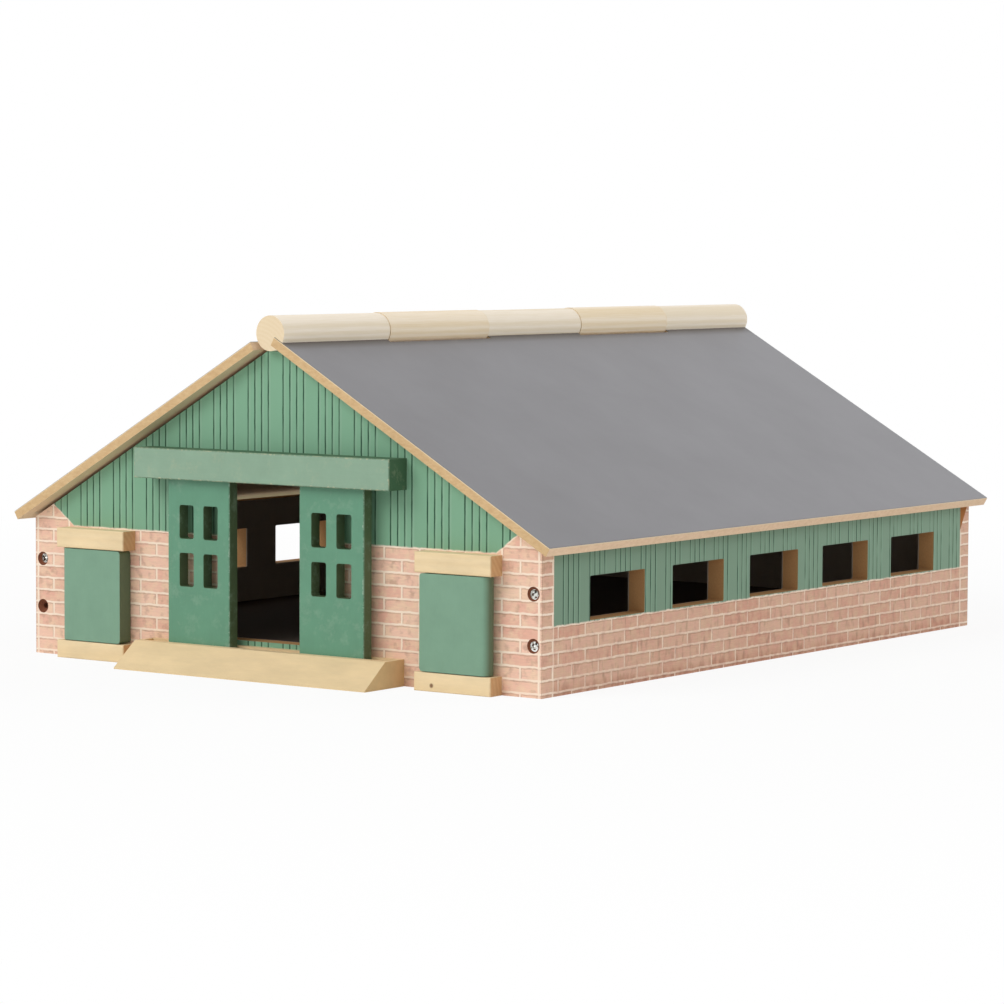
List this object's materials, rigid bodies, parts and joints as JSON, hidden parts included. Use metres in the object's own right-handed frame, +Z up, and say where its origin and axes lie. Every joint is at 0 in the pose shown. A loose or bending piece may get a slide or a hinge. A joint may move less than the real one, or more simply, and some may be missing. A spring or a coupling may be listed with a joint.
{
  "type": "toy barn with opening doors",
  "caption": "Gabled wooden toy barn with sliding and swinging front doors, side windows and a roof whose leaves hinge open at a knuckled dowel ridge.",
  "frame": {"origin": "bottom centre of the whole barn's bounding box, roof leaves and ramp included", "axes": "+X towards the right of someone who faces the doors, +Y from the front gable to the rear gable, +Z up"},
  "size_m": [0.4084, 0.557, 0.2169],
  "materials": {
    "printed_board": "fibreboard with a printed brick and siding face, satin",
    "roof_board": "grey painted fibreboard, matt, raw edges",
    "main_door_paint": "green satin paint on board",
    "small_door_paint": "pale green satin paint on wood",
    "header_paint": "pale green satin paint on wood",
    "pine": "planed, clear matt lacquer",
    "pale_dowel": "turned hardwood, matt",
    "yellow_dowel": "turned pine, matt",
    "floor_board": "raw fibreboard",
    "zinc_steel": "zinc plated"
  },
  "bodies": {
    "house": {"floor_board": "floor_board", "front_gable": "printed_board", "rear_gable": "printed_board", "left_wall": "printed_board", "right_wall": "printed_board", "door_header": "header_paint", "ramp": "pine", "upper_rail_left": "pine", "upper_rail_right": "pine", "lower_rail_left": "pine", "lower_rail_right": "pine", "corner_screws_front": "zinc_steel", "corner_screws_rear": "zinc_steel"},
    "main_door_left": {"main_door_left": "main_door_paint"},
    "main_door_right": {"main_door_right": "main_door_paint"},
    "small_door_left": {"small_door_left": "small_door_paint", "small_door_left_pins": "zinc_steel"},
    "small_door_right": {"small_door_right": "small_door_paint", "small_door_right_pins": "zinc_steel"},
    "roof_left": {"roof_panel_left": "roof_board", "ridge_knuckle_2": "yellow_dowel", "ridge_knuckle_4": "yellow_dowel"},
    "roof_right": {"roof_panel_right": "roof_board", "ridge_knuckle_1": "pale_dowel", "ridge_knuckle_3": "pale_dowel", "ridge_knuckle_5": "pale_dowel", "ridge_rod": "zinc_steel"}
  },
  "joints": [
    {"name": "main_door_left_slide", "type": "slide", "parent": "house", "child": "main_door_left", "axis": [1, 0, 0], "range_m": [-0.0188, 0.02595]},
    {"name": "main_door_right_slide", "type": "slide", "parent": "house", "child": "main_door_right", "axis": [1, 0, 0], "range_m": [-0.02725, 0.0175]},
    {"name": "small_door_left_hinge", "type": "hinge", "parent": "house", "child": "small_door_left", "pos_m": [-0.159, -0.2463, 0.04015], "axis": [0, 0, -1], "range_deg": [0, 180]},
    {"name": "small_door_right_hinge", "type": "hinge", "parent": "house", "child": "small_door_right", "pos_m": [0.159, -0.2463, 0.04015], "axis": [0, 0, 1], "range_deg": [0, 180]},
    {"name": "roof_left_hinge", "type": "hinge", "parent": "house", "child": "roof_left", "pos_m": [0, 0.016, 0.2058], "axis": [0, 1, 0], "range_deg": [0, 115]},
    {"name": "roof_right_hinge", "type": "hinge", "parent": "house", "child": "roof_right", "pos_m": [0, 0.016, 0.2058], "axis": [0, -1, 0], "range_deg": [0, 115]}
  ]
}
